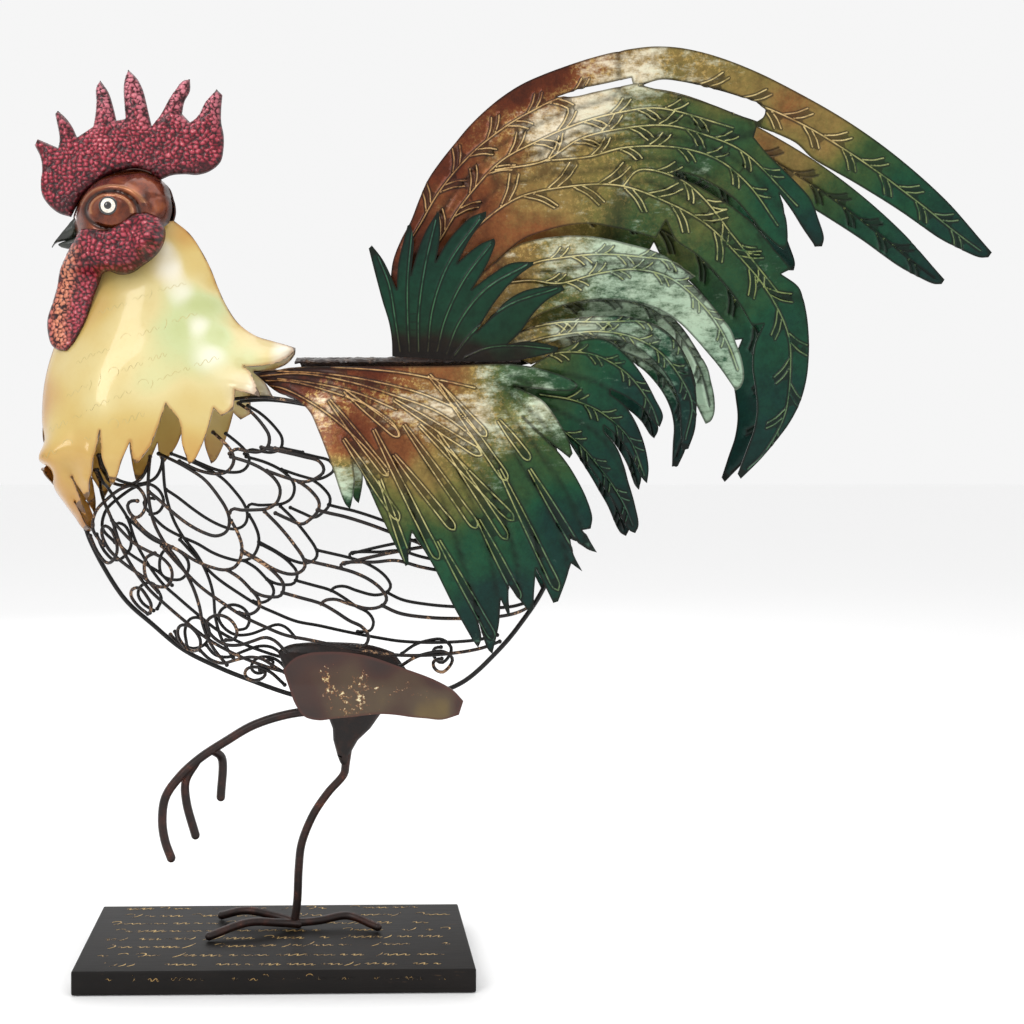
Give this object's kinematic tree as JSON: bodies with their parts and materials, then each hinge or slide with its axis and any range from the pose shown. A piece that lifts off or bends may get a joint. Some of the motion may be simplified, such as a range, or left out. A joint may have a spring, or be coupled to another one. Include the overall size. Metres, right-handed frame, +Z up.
{
  "type": "scrap metal rooster sculpture",
  "caption": "Standing rooster of cut, pressed and painted sheet metal over a bent-wire belly cage, on one rod leg and a flat wooden plinth.",
  "frame": {"origin": "centre of the plinth's underside", "axes": "+Z up, the rooster faces -X and its tail points to +X, -Y is its right side with the raised foot"},
  "size_m": [0.6217, 0.1413, 0.598],
  "materials": {
    "plinth": "worn black paint with gold marks",
    "rod": "dark brown oil-rubbed",
    "wire": "black and bronze-rubbed",
    "tail": "glossy brown, ochre, green and teal with pearl patches",
    "tuft": "glossy dark green",
    "wing": "glossy brown, green and cream",
    "back": "dark brown",
    "neck": "glossy cream and gold",
    "head": "glossy copper brown",
    "comb": "hammered crimson",
    "beak": "black",
    "eye": "gloss enamel",
    "thigh": "flaked brown and cream"
  },
  "bodies": {
    "root": {"plinth": "plinth", "standing_leg": "rod", "raised_leg": "rod", "thigh_near": "thigh", "thigh_far": "thigh", "keel_wire": "wire", "cage_near": "wire", "cage_far": "wire", "back": "back", "comb": "comb", "beak": "beak", "neck_near": "neck", "neck_far": "neck", "head_near": "head", "head_far": "head", "wattle_near": "comb", "wattle_far": "comb", "eye_near": "eye", "eye_far": "eye", "wing_near": "wing", "wing_far": "wing", "tuft_near": "tuft", "tuft_far": "tuft", "tail_main_near": "tail", "tail_main_far": "tail", "tail_middle_near": "tail", "tail_middle_far": "tail", "tail_inner_near": "tail", "tail_inner_far": "tail", "tail_lower_near": "tail", "tail_lower_far": "tail"}
  },
  "joints": []
}
